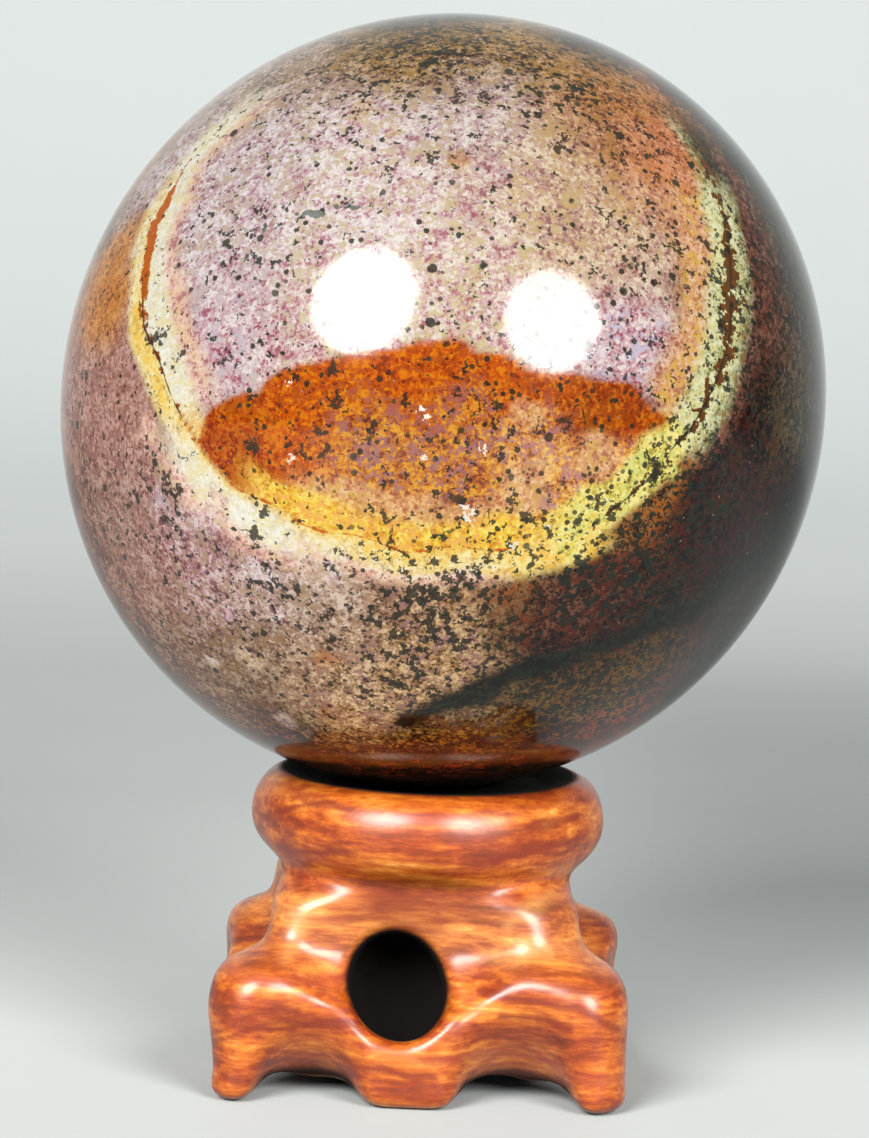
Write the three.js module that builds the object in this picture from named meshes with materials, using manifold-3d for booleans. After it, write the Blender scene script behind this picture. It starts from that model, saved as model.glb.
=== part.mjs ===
// A polished ocean jasper sphere resting on a small carved wooden stand.
// Units are millimetres, +Z is up, and the origin is the middle of the stand's footprint on the table.
// The front of the stand faces -Y. Its hole is cut off centre, towards -X.
import * as THREE from "three";
import { mergeVertices } from "three/addons/utils/BufferGeometryUtils.js";
import Module from "manifold-3d";

// Driving dimensions of the stone
const SPHERE_RADIUS = 35.2;
const SPHERE_CENTRE_HEIGHT = 62.05;

// Driving dimensions of the stand's turned bead and of the seat inside it
const GROOVE_HEIGHT = 19.5;
const BEAD_MIDDLE_HEIGHT = 23.5;
const BEAD_RADIUS = 16.35;
const BEAD_CREST_RADIUS = 13.3;
const BEAD_CREST_HEIGHT = 27.8;
const BEAD_DROP = 4.25;
const SEAT_RADIUS = 6;
const SEAT_LAND_RADIUS = 10.4;
const SEAT_GAP = 0.3;
const SEAT_DEPTH = 3;

// Driving dimensions of the stand's square block and of the collar above it
const BLOCK_HALF_WIDTH = 19.1;
const BLOCK_CORNER_RADIUS = 4.6;
const SHOULDER_HEIGHT = 11;
const COLLAR_HEIGHT = 17.6;
const COLLAR_RADIUS = 14.7;

// Driving dimensions of the carving
const HOLE = { halfWidth: 4.3, halfHeight: 5, level: 10.8, faceDistance: 16.5, innerEnd: 5.5, drop: 12 };
const SCOOP = { halfWidth: 9, depth: 3.8, halfHeight: 5.2, level: 14, faceDistance: 16.4 };
const FLUTE = { length: 24, tilt: 50 };
const UNDERCUT = { radius: 14.2, depth: 3.4 };

// The faces were carved by hand, so the hole's place and lean and the two flutes differ on each.
const FACES = [
  {
    turn: 0,
    hole: { across: -2.1, lean: 20 },
    flutes: [{ across: -9.9, radius: 4.3, top: 8.9 }, { across: 8.8, radius: 4.7, top: 10.2 }],
  },
  {
    turn: 90,
    hole: { across: 0.7, lean: -8 },
    flutes: [{ across: -9.6, radius: 4.4, top: 9.3 }, { across: 9.4, radius: 4.3, top: 9 }],
  },
  {
    turn: 180,
    hole: { across: -0.8, lean: 6 },
    flutes: [{ across: -9.2, radius: 4.5, top: 9.5 }, { across: 9.5, radius: 4.2, top: 8.8 }],
  },
  {
    turn: 270,
    hole: { across: 1, lean: -12 },
    flutes: [{ across: -9.4, radius: 4.2, top: 8.9 }, { across: 9.8, radius: 4.4, top: 9.4 }],
  },
];

// Fineness of the faceted surfaces
const STONE_SEGMENTS = { around: 60, down: 30 };
const TURNED_SEGMENTS = 48;
const BEAD_STEPS = 10;
const UNDERCUT_STEPS = 6;
const CUTTER_SEGMENTS = 20;
const SCOOP_SEGMENTS = { around: 28, down: 20 };

const wasm = await Module();
wasm.setup();

// Turns a closed three.js geometry into a solid that can be joined and cut.
function solidOf(geometry) {
  const bare = new THREE.BufferGeometry();
  const triangles = geometry.index ? geometry.toNonIndexed() : geometry;
  bare.setAttribute("position", triangles.getAttribute("position"));
  const merged = mergeVertices(bare);
  const mesh = new wasm.Mesh({
    numProp: 3,
    vertProperties: merged.attributes.position.array,
    triVerts: new Uint32Array(merged.index.array),
  });
  return new wasm.Manifold(mesh);
}

// Turns a solid back into a three.js geometry.
function geometryOf(solid) {
  const mesh = solid.getMesh();
  const geometry = new THREE.BufferGeometry();
  geometry.setAttribute("position", new THREE.BufferAttribute(mesh.vertProperties, 3));
  geometry.setIndex(new THREE.BufferAttribute(mesh.triVerts, 1));
  geometry.computeVertexNormals();
  return geometry;
}

// Turns a profile of [radius, height] pairs about the upright axis.
function turned(profile) {
  const points = profile.map(([radius, height]) => new THREE.Vector2(radius, height));
  return new THREE.LatheGeometry(points, TURNED_SEGMENTS).rotateX(Math.PI / 2);
}

// Distance from the axis to the outline of a square with rounded corners, in the direction of an angle.
function roundedSquareReach(halfWidth, cornerRadius, angle) {
  const longer = Math.max(Math.abs(Math.cos(angle)), Math.abs(Math.sin(angle)));
  const shorter = Math.min(Math.abs(Math.cos(angle)), Math.abs(Math.sin(angle)));
  const cornerCentre = halfWidth - cornerRadius;
  if ((halfWidth * shorter) / longer <= cornerCentre) {
    return halfWidth / longer;
  }
  const along = cornerCentre * (longer + shorter);
  return along + Math.sqrt(along ** 2 - 2 * cornerCentre ** 2 + cornerRadius ** 2);
}

// Height of the flat seat inside the bead, just under the stone at the edge of the recess.
function seatHeight() {
  return SPHERE_CENTRE_HEIGHT - Math.sqrt(SPHERE_RADIUS ** 2 - SEAT_RADIUS ** 2) - SEAT_GAP;
}

// A point of the bead's oval outline, as [radius, height]. The angle is 0 where the bead is widest.
function beadOutline(angle) {
  const rise = angle > 0 ? BEAD_CREST_HEIGHT - BEAD_MIDDLE_HEIGHT : BEAD_DROP;
  return [
    BEAD_CREST_RADIUS + (BEAD_RADIUS - BEAD_CREST_RADIUS) * Math.cos(angle),
    BEAD_MIDDLE_HEIGHT + rise * Math.sin(angle),
  ];
}

// The angle at which the bead's outline meets the groove.
function grooveAngle() {
  return -Math.asin((BEAD_MIDDLE_HEIGHT - GROOVE_HEIGHT) / BEAD_DROP);
}

// Cross-sections of the block, from its foot to the groove under the bead.
function blockSections() {
  const width = BLOCK_HALF_WIDTH;
  const corner = BLOCK_CORNER_RADIUS;
  const shoulder = SHOULDER_HEIGHT;
  const collar = COLLAR_RADIUS;
  const groove = beadOutline(grooveAngle())[0];
  return [
    { halfWidth: width - 1, corner: corner - 0.6, height: 0 },
    { halfWidth: width - 0.3, corner: corner - 0.2, height: 0.6 },
    { halfWidth: width, corner, height: 2 },
    { halfWidth: width, corner, height: shoulder - 2 },
    { halfWidth: width - 0.4, corner, height: shoulder },
    { halfWidth: width - 1.3, corner: corner + 0.3, height: shoulder + 1.3 },
    { halfWidth: width - 2.7, corner: corner + 1, height: shoulder + 2 },
    { halfWidth: width - 3.9, corner: corner + 1.6, height: shoulder + 3 },
    { halfWidth: collar + 0.1, corner: corner + 2, height: COLLAR_HEIGHT - 1.6 },
    { halfWidth: collar, corner: corner + 2.8, height: COLLAR_HEIGHT },
    { halfWidth: collar - 0.4, corner: corner + 4.8, height: COLLAR_HEIGHT + 1 },
    { halfWidth: groove, corner: groove, height: GROOVE_HEIGHT },
    { halfWidth: groove, corner: groove, height: GROOVE_HEIGHT + 1 },
  ];
}

// The block: a square base with rounded edges that draws in to a squarish collar and a round groove.
function blockGeometry() {
  const sections = blockSections();
  const foot = sections[0].height;
  const top = sections.at(-1).height;
  const rows = [null, ...sections, null];
  const geometry = turned([
    [0, foot],
    ...sections.map((section) => [section.halfWidth, section.height]),
    [0, top],
  ]);
  const position = geometry.getAttribute("position");
  for (let i = 0; i < position.count; i += 1) {
    const section = rows[i % rows.length];
    if (section) {
      const angle = Math.atan2(position.getY(i), position.getX(i));
      const reach = roundedSquareReach(section.halfWidth, section.corner, angle);
      position.setXY(i, reach * Math.cos(angle), reach * Math.sin(angle));
    }
  }
  return geometry;
}

// The turned bead. Its top falls inwards to a flat seat, and the stone rests on the edge of a recess there.
function beadGeometry() {
  const start = grooveAngle();
  const step = (Math.PI / 2 - start) / BEAD_STEPS;
  const swell = Array.from({ length: BEAD_STEPS + 1 }, (_, i) => beadOutline(start + step * i));
  const recess = seatHeight() - SEAT_DEPTH;
  return turned([
    [0, GROOVE_HEIGHT],
    ...swell,
    [(BEAD_CREST_RADIUS + SEAT_LAND_RADIUS) / 2, (BEAD_CREST_HEIGHT * 2 + seatHeight()) / 3],
    [SEAT_LAND_RADIUS, seatHeight()],
    [SEAT_RADIUS, seatHeight()],
    [SEAT_RADIUS, recess + 1],
    [SEAT_RADIUS - 1, recess],
    [0, recess],
  ]);
}

// The wide dish carved into the collar above a hole.
function scoopGeometry({ across }) {
  return new THREE.SphereGeometry(1, SCOOP_SEGMENTS.around, SCOOP_SEGMENTS.down)
    .scale(SCOOP.halfWidth, SCOOP.depth, SCOOP.halfHeight)
    .translate(across, -SCOOP.faceDistance, SCOOP.level);
}

// A blind oval hole that leans to one side and falls a little towards the middle of the stand.
function holeGeometry({ across, lean }) {
  const length = BLOCK_HALF_WIDTH - HOLE.innerEnd;
  const outset = BLOCK_HALF_WIDTH - HOLE.faceDistance;
  return new THREE.CylinderGeometry(1, 1, length, CUTTER_SEGMENTS)
    .scale(HOLE.halfWidth, 1, HOLE.halfHeight)
    .rotateY(THREE.MathUtils.degToRad(-lean))
    .translate(0, length / 2 - outset, 0)
    .rotateX(THREE.MathUtils.degToRad(-HOLE.drop))
    .translate(across, -HOLE.faceDistance, HOLE.level);
}

// A round flute that runs up and outwards from the underside and arches on the face.
function fluteGeometry({ across, radius, top }) {
  const tilt = THREE.MathUtils.degToRad(FLUTE.tilt);
  return new THREE.CylinderGeometry(radius, radius, FLUTE.length, CUTTER_SEGMENTS)
    .rotateX(-tilt)
    .translate(across, -BLOCK_HALF_WIDTH, top - radius / Math.cos(tilt));
}

// The shallow oval dome cut into the underside, which leaves the stand on its corners and mid-side feet.
function undercutGeometry() {
  const dome = Array.from({ length: UNDERCUT_STEPS }, (_, i) => {
    const angle = (Math.PI / 2) * (i / UNDERCUT_STEPS);
    return [UNDERCUT.radius * Math.cos(angle), UNDERCUT.depth * Math.sin(angle)];
  });
  return turned([[0, -1], [UNDERCUT.radius, -1], ...dome, [0, UNDERCUT.depth]]);
}

function standMesh() {
  let stand = solidOf(blockGeometry()).add(solidOf(beadGeometry()));
  stand = stand.subtract(solidOf(undercutGeometry()));
  for (const { turn, hole, flutes } of FACES) {
    const cutters = [scoopGeometry(hole), holeGeometry(hole), ...flutes.map(fluteGeometry)];
    for (const cutter of cutters) {
      stand = stand.subtract(solidOf(cutter.rotateZ(THREE.MathUtils.degToRad(turn))));
    }
  }
  const wood = new THREE.MeshStandardMaterial({ color: 0xc4733a, roughness: 0.3, metalness: 0 });
  const mesh = new THREE.Mesh(geometryOf(stand), wood);
  mesh.name = "stand";
  return mesh;
}

function sphereMesh() {
  const stone = new THREE.MeshStandardMaterial({ color: 0xa98078, roughness: 0.12, metalness: 0 });
  const geometry = new THREE.SphereGeometry(SPHERE_RADIUS, STONE_SEGMENTS.around, STONE_SEGMENTS.down);
  const mesh = new THREE.Mesh(geometry.rotateX(Math.PI / 2), stone);
  mesh.name = "sphere";
  mesh.position.set(0, 0, SPHERE_CENTRE_HEIGHT);
  return mesh;
}

const object = new THREE.Group();
object.add(sphereMesh(), standMesh());

export default object;
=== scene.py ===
"""A polished ocean jasper sphere resting on its small carved stand.

Sizes are in millimetres until a mesh is made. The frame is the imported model's: +Z up, and the
stand's front towards -Y.
"""
import math

import bpy
import numpy as np
from mathutils import Matrix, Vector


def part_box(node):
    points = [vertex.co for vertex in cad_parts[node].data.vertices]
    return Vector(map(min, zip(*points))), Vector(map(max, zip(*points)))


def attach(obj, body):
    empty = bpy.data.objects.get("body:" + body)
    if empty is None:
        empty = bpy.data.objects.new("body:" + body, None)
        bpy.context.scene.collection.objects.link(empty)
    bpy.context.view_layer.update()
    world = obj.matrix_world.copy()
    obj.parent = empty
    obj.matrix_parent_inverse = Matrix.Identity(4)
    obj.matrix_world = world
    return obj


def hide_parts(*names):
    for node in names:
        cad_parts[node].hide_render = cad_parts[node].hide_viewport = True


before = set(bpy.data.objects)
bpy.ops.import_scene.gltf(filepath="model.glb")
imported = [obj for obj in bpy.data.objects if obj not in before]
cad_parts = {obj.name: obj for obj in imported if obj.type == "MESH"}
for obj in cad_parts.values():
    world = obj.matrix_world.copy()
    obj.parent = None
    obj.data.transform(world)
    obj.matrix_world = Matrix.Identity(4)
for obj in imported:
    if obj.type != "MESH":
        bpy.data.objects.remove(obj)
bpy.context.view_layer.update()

MM = 0.001

# The photograph's frame and the camera that took it
IMAGE_WIDTH, IMAGE_HEIGHT = 869, 1138
FOCAL_PIXELS = 4339
SENSOR_HEIGHT = 36
CAMERA_TARGET = np.array([-0.2, 0, 46.6])
CAMERA_DISTANCE = 400
CAMERA_ELEVATION = math.radians(6.5)
CAMERA_ROLL = math.radians(2.24)

# The stone, taken from its solid
STONE_LOW, STONE_HIGH = (np.array(corner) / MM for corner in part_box("sphere"))
STONE_CENTRE = (STONE_LOW + STONE_HIGH) / 2
STONE_RADIUS = (STONE_HIGH[0] - STONE_LOW[0]) / 2


def unit(vectors):
    return vectors / np.linalg.norm(vectors, axis=-1, keepdims=True)


def camera_axes():
    """Unit vectors to the image's right, to its top and away from the camera."""
    forward = np.array([0, math.cos(CAMERA_ELEVATION), -math.sin(CAMERA_ELEVATION)])
    level = np.array([1, 0, 0])
    upright = np.cross(level, forward)
    right = level * math.cos(CAMERA_ROLL) + upright * math.sin(CAMERA_ROLL)
    up = upright * math.cos(CAMERA_ROLL) - level * math.sin(CAMERA_ROLL)
    return right, up, forward


RIGHT, UP, FORWARD = camera_axes()
CAMERA_PLACE = CAMERA_TARGET - FORWARD * CAMERA_DISTANCE
TO_CAMERA = unit(CAMERA_PLACE - STONE_CENTRE)


def place_object(name, data, axes, place):
    """Adds an object at a place in millimetres, with its own X, Y and Z along the axes."""
    turn = np.eye(4)
    turn[:3, :3] = np.stack(axes, axis=1)
    turn[:3, 3] = place * MM
    made = bpy.data.objects.new(name, data)
    made.matrix_world = Matrix(turn)
    bpy.context.scene.collection.objects.link(made)
    return made


def make_camera():
    data = bpy.data.cameras.new("camera")
    data.sensor_fit = "VERTICAL"
    data.sensor_height = SENSOR_HEIGHT
    data.lens = SENSOR_HEIGHT * FOCAL_PIXELS / IMAGE_HEIGHT
    data.clip_start = 0.01
    bpy.context.scene.camera = place_object("camera", data, (RIGHT, UP, -FORWARD), CAMERA_PLACE)


# Colour and node helpers


def linear(code):
    """A hex colour as it is written on screen, in Blender's linear values."""
    values = [int(code[i : i + 2], 16) / 255 for i in (0, 2, 4)]
    return np.array([v / 12.92 if v <= 0.04045 else ((v + 0.055) / 1.055) ** 2.4 for v in values])


def colour(code):
    return (*linear(code), 1)


class Graph:
    """Builds a material from short expressions. Inputs are sockets or plain values."""

    def __init__(self, name):
        self.material = bpy.data.materials.new(name)
        self.material.use_nodes = True
        self.nodes = self.material.node_tree.nodes
        self.links = self.material.node_tree.links
        self.nodes.clear()

    def node(self, kind, inputs=None, **settings):
        made = self.nodes.new("ShaderNode" + kind)
        for key, value in settings.items():
            setattr(made, key, value)
        for key, value in (inputs or {}).items():
            self.put(made.inputs[key], value)
        return made

    def put(self, socket, value):
        if isinstance(value, bpy.types.NodeSocket):
            self.links.new(value, socket)
        else:
            socket.default_value = value

    def math(self, operation, *values, clamp=False):
        made = self.nodes.new("ShaderNodeMath")
        made.operation, made.use_clamp = operation, clamp
        for socket, value in zip(made.inputs, values):
            self.put(socket, value)
        return made.outputs[0]

    def times(self, a, b):
        return self.math("MULTIPLY", a, b)

    def plus(self, a, b):
        return self.math("ADD", a, b)

    def minus(self, a, b):
        return self.math("SUBTRACT", a, b)

    def scaled(self, value, factor, start):
        """The value times a factor, added to a start."""
        return self.math("MULTIPLY_ADD", value, factor, start)

    def step(self, low, high, value):
        """0 below low, 1 above high, smooth between."""
        made = self.node("MapRange", {"Value": value, "From Min": low, "From Max": high})
        made.interpolation_type = "SMOOTHSTEP"
        return made.outputs["Result"]

    def mix(self, factor, a, b):
        made = self.node("Mix", data_type="RGBA")
        self.put(made.inputs[0], factor)
        self.put(made.inputs[6], a)
        self.put(made.inputs[7], b)
        return made.outputs[2]

    def stain(self, shade, field, strength, code):
        """Lays a plain colour over a shade where a field is high."""
        return self.mix(self.times(field, strength), shade, colour(code))

    def attribute(self, name, kind="Fac"):
        return self.node("Attribute", attribute_name=name).outputs[kind]

    def place(self, scale=(1, 1, 1)):
        """The object's own coordinates in millimetres, scaled."""
        source = self.node("TexCoord").outputs["Object"]
        made = self.node("Mapping", {"Vector": source, "Scale": [s / MM for s in scale]})
        return made.outputs["Vector"]

    def noise(self, place, scale, detail=2, rough=0.5, warp=0, output="Fac"):
        inputs = {"Vector": place, "Scale": scale, "Detail": detail, "Roughness": rough, "Distortion": warp}
        return self.node("TexNoise", inputs).outputs[output]

    def cells(self, place, scale):
        """Distance to the nearest of some scattered points, and that point's three random values."""
        made = self.node("TexVoronoi", {"Vector": place, "Scale": scale})
        return made.outputs["Distance"], self.node("SeparateColor", {0: made.outputs["Color"]}).outputs

    def shifted(self, place, amount, scale, detail=1):
        """Coordinates pushed about by noise, by up to about half of amount."""
        push = self.noise(place, scale, detail, output="Color")
        centred = self.node("VectorMath", {0: push, 1: (0.5, 0.5, 0.5)}, operation="SUBTRACT").outputs[0]
        scaled = self.node("VectorMath", {0: centred, "Scale": amount}, operation="SCALE").outputs[0]
        return self.node("VectorMath", {0: place, 1: scaled}, operation="ADD").outputs[0]

    def ramp(self, value, stops):
        made = self.node("ValToRGB", {0: value})
        while len(made.color_ramp.elements) < len(stops):
            made.color_ramp.elements.new(0.5)
        for element, (mark, shade) in zip(made.color_ramp.elements, stops):
            element.position = mark
            element.color = colour(shade) if isinstance(shade, str) else shade
        return made.outputs[0]

    def axes(self, place):
        return self.node("SeparateXYZ", {0: place}).outputs

    def finish(self, **inputs):
        shader = self.node("BsdfPrincipled")
        for key, value in inputs.items():
            self.put(shader.inputs[key.replace("_", " ")], value)
        out = self.node("OutputMaterial")
        self.links.new(shader.outputs[0], out.inputs["Surface"])
        return self.material


def make_mesh(name, points, faces, material):
    """A smooth-shaded mesh piece from points in millimetres."""
    mesh = bpy.data.meshes.new(name)
    mesh.from_pydata((points * MM).tolist(), [], faces.tolist())
    mesh.polygons.foreach_set("use_smooth", np.ones(len(faces), bool))
    mesh.update()
    mesh.materials.append(material)
    piece = bpy.data.objects.new(name, mesh)
    bpy.context.scene.collection.objects.link(piece)
    return piece


def paint(mesh, name, values):
    """Stores a number or a colour at each point."""
    if values.ndim == 1:
        made, key = mesh.attributes.new(name, "FLOAT", "POINT"), "value"
    else:
        made, key = mesh.attributes.new(name, "FLOAT_COLOR", "POINT"), "color"
        values = np.concatenate([values, np.ones((len(values), 1))], axis=1)
    made.data.foreach_set(key, values.astype(np.float32).ravel())


# The stone's chart: a flat map of the whole ball, in millimetres of arc from the point nearest the camera


def chart_axes():
    across = unit(RIGHT - TO_CAMERA * (RIGHT @ TO_CAMERA))
    return across, np.cross(TO_CAMERA, across)


def chart(directions):
    """Places on the chart of unit vectors from the stone's centre."""
    across, upward = chart_axes()
    reach = np.arccos(np.clip(directions @ TO_CAMERA, -1, 1)) * STONE_RADIUS
    turn = np.arctan2(directions @ upward, directions @ across)
    return np.stack([reach * np.cos(turn), reach * np.sin(turn)], axis=1)


def stone_ways(pixels):
    """Unit vectors from the stone's centre to what the camera sees at image points."""
    pixels = np.atleast_2d(np.array(pixels, float))
    aside = (pixels[:, :1] - IMAGE_WIDTH / 2) / FOCAL_PIXELS
    above = (IMAGE_HEIGHT / 2 - pixels[:, 1:]) / FOCAL_PIXELS
    rays = unit(FORWARD + aside * RIGHT + above * UP)
    start = CAMERA_PLACE - STONE_CENTRE
    along = rays @ start
    inside = np.maximum(along**2 - start @ start + STONE_RADIUS**2, 0)
    return unit(start + rays * (-along - np.sqrt(inside))[:, None])


def seen(pixels):
    """Chart places of image points on the stone."""
    return chart(stone_ways(pixels))


def gap_to(places, pixel):
    """Distance of each chart place from an image point."""
    return np.hypot(*(places - seen(pixel)).T)


def smooth_line(points, closed=False):
    """A Catmull-Rom curve through the points, in steps of a sixth of the way between two."""
    points = np.array(points, float)
    if closed:
        points = np.concatenate([points[-1:], points, points[:2]])
    else:
        points = np.concatenate([2 * points[:1] - points[1:2], points, 2 * points[-1:] - points[-2:-1]])
    t = np.arange(6)[:, None] / 6
    pieces = []
    for p0, p1, p2, p3 in zip(points[:-3], points[1:-2], points[2:-1], points[3:]):
        cubic = 2 * p1 + (p2 - p0) * t
        cubic = cubic + (2 * p0 - 5 * p1 + 4 * p2 - p3) * t**2 + (3 * p1 - p0 - 3 * p2 + p3) * t**3
        pieces.append(cubic / 2)
    line = np.concatenate(pieces)
    return line if closed else np.concatenate([line, points[-2:-1]])


def line_distance(places, line, closed=False):
    """Distance of each place to a line, and how far along the line its nearest point is, from 0 to 1."""
    ends = np.roll(line, -1, axis=0) if closed else line[1:]
    starts = line if closed else line[:-1]
    best = np.full(len(places), np.inf)
    along = np.zeros(len(places))
    for i, (a, b) in enumerate(zip(starts, ends)):
        run = b - a
        t = np.clip((places - a) @ run / max(run @ run, 1e-9), 0, 1)
        gap = np.hypot(*(places - a - t[:, None] * run).T)
        nearer = gap < best
        best[nearer] = gap[nearer]
        along[nearer] = (i + t[nearer]) / len(starts)
    return best, along


def inside_outline(places, line):
    """Whether each place is inside a closed line, by counting crossings."""
    x, y = places.T
    odd = np.zeros(len(places), bool)
    for (x0, y0), (x1, y1) in zip(line, np.roll(line, -1, axis=0)):
        if y0 != y1:
            crosses = ((y0 > y) != (y1 > y)) & (x < (x1 - x0) * (y - y0) / (y1 - y0) + x0)
            odd ^= crosses
    return odd


def signed_distance(places, line):
    """Distance to a closed line, positive inside, and how far along it the nearest point is."""
    gap, along = line_distance(places, line, closed=True)
    return np.where(inside_outline(places, line), gap, -gap), along


# The studio's light on the stone, so that colours as seen can be turned into the stone's own colours.
# Each light's way from the stone goes to the image's right, to its top and to the camera, with a strength.
LIGHT_WAYS = [((-0.42, 0.486, 0.767), 2.91), ((0.524, 0.396, 0.753), 2.42)]
ROOM_LIGHT = 0.45
PAPER_LIGHT = 0.35
LEAST_LIGHT = 0.7
STONE_GLOSS = 0.27
FACING_MIRROR = 0.08 * STONE_GLOSS
MOST_MIRROR = 0.2
ROOM_MIRRORED = 0.38
PAPER_MIRRORED = 0.52
# The least share of a tone that is left when the mirrored light is taken off
LEAST_KEPT = 0.15


def studio_light(directions):
    """How bright a white surface facing each way would look, from the two lights and the paper below."""
    level = ROOM_LIGHT - PAPER_LIGHT * directions[:, 2]
    for (right, up, near), strength in LIGHT_WAYS:
        level = level + strength * np.maximum(directions @ (RIGHT * right + UP * up - FORWARD * near), 0)
    return np.maximum(level, LEAST_LIGHT)


def studio_shine(directions):
    """How much the polish adds by mirroring the room and the paper, away from the two lights."""
    facing = np.clip(directions @ TO_CAMERA, 0, 1)
    mirror = np.minimum(FACING_MIRROR + (1 - FACING_MIRROR) * (1 - facing) ** 5, MOST_MIRROR)
    return mirror * (ROOM_MIRRORED + PAPER_MIRRORED * ease(0, -0.35, directions[:, 2]))


def ease(low, high, value):
    t = np.clip((value - low) / (high - low), 0, 1)
    return t * t * (3 - 2 * t)


def ripple(places, size, amount, seed):
    """Smooth waves in two or three dimensions, used to make drawn outlines wander."""
    rng = np.random.default_rng(seed)
    total = np.zeros(len(places))
    for _ in range(7):
        heading = unit(rng.normal(size=places.shape[1]))
        wave = 2 * math.pi / (size * rng.uniform(0.6, 1.8))
        total += np.sin(places @ heading * wave + rng.uniform(0, 2 * math.pi))
    return total * amount / math.sqrt(7)


def ripples(places, size, amount, seeds):
    """One set of waves for each seed, side by side."""
    return np.stack([ripple(places, size, amount, seed) for seed in seeds], axis=1)


# The stone's markings. Image points trace them on the side that the camera sees.

LOOP = [
    (165, 196), (150, 226), (143, 272), (143, 319), (152, 354), (171, 401), (198, 446), (240, 488),
    (285, 513), (334, 532), (395, 548), (440, 550), (480, 549), (522, 546), (560, 538), (590, 526),
    (611, 512), (643, 487), (673, 449), (690, 431), (708, 401), (721, 367), (728, 340), (729, 319),
    (728, 297), (726, 247), (719, 208), (704, 168), (676, 125), (640, 94), (590, 66), (530, 50), (460, 44),
    (390, 48), (320, 64), (262, 92), (215, 128), (184, 162),
]
LENS_TOP = [
    (199, 441), (206, 420), (213, 409), (228, 399), (246, 391), (256, 392), (263, 381), (277, 372),
    (294, 366), (314, 358), (344, 352), (375, 351), (395, 347), (414, 342), (432, 344), (462, 341),
    (482, 351), (508, 351), (532, 369), (556, 376), (590, 373), (616, 378), (632, 386), (643, 397),
    (658, 410), (671, 421), (685, 432),
]
LENS_BOTTOM = LOOP[5:20]
DARK_STREAK = [
    (412, 716), (450, 702), (490, 686), (540, 665), (600, 648), (660, 624), (720, 596), (775, 545),
    (810, 480),
]
# Share of the streak's length, and half its width there in millimetres
STREAK_WIDTHS = [(0, 1.3), (0.15, 1.6), (0.3, 1.3), (0.45, 0.8), (0.7, 1.4), (1, 3)]
GREEN_VEIN = [(258, 226), (271, 229), (282, 220), (299, 216), (312, 212), (326, 208), (340, 204), (356, 203)]

# Stone colours as they look in the studio's light: of light, middle and dark grains and of an odd grain
TONES = {
    "lilac": "f0e8e8 d6c0c6 ae7e8c c8b49c", "rose": "f4e4e2 d6acb2 aa5468 d0c6dc",
    "cream": "fcf6f0 ecd8da c68e9a dcc8a4", "blossom": "fcf2e4 e2c0c0 be6e7a e0d09c",
    "tan": "eedab4 d0a894 a4746c d0b078", "salmon": "d48c58 a85a34 5e2e1a b8743e",
    "olive": "d0ac82 8e6e4a 382614 b0863c", "umber": "deae80 b0804e 56361e ba8848",
    "amber": "e2b27a c69056 9a5e2c b87020", "mauve": "cea498 b28274 86524a 9e6e66",
    "plum": "ba9a8a 9e7868 724a42 82645e", "grey": "dcc2c4 b4848a 784a50 b49680",
    "ash": "dcc8bc b4988a 6a5650 ac8e6c", "clay": "aa907e 8e7462 684c40 7c5c34",
    "speckled": "dab88c aa8458 5c4028 a07470", "bark": "a07040 5e4028 201e16 b0641e",
    "coral": "ecac88 d0805c 8c5034 e09058", "copper": "e0a054 c8823a 8c5220 cc7c2c",
    "fir": "665e4c 36332a 181a12 56482e", "ruddy": "946656 5a3e34 28241c 7c4638",
    "maroon": "442e26 1c120e 0a0806 441e16", "slate": "66604c 38342a 1a1b14 463626",
    "moss": "6a5836 3c331c 14180c 6e5026", "rust": "805226 50321c 261812 302a18",
    "ink": "283226 101612 070b08 181a10", "orange": "ea8414 d25a04 9c3e02 b45420",
    "russet": "d47620 bc4e08 86340a 9c4810", "ember": "d27422 b84606 862e06 c46418",
    "purple": "ecaa3c d07c30 8e4634 aa7276", "honey": "f8cc74 e29a40 9c5436 c0868c",
    "peach": "f2cca4 e0a67c bc7858 e4b450", "gold": "fee874 f9cb42 da9632 f4b460",
    "butter": "feeca8 f8de80 e0b458 fccc5c", "lemon": "fcf0a0 f2dc6c b4a848 dce084",
    "primrose": "fcf4d0 f4e2b0 cca874 f6dc80", "milk": "faf8ea f2ecd8 e0d6bc f0e4b0",
    "blush": "f6d8c8 e8b4a4 c08480 f0d0a4", "lime": "f0f0c8 dcdca8 a0a468 e4dc98",
    "sage": "d0d0a8 a8a87c 5c6040 94783c",
}

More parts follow.
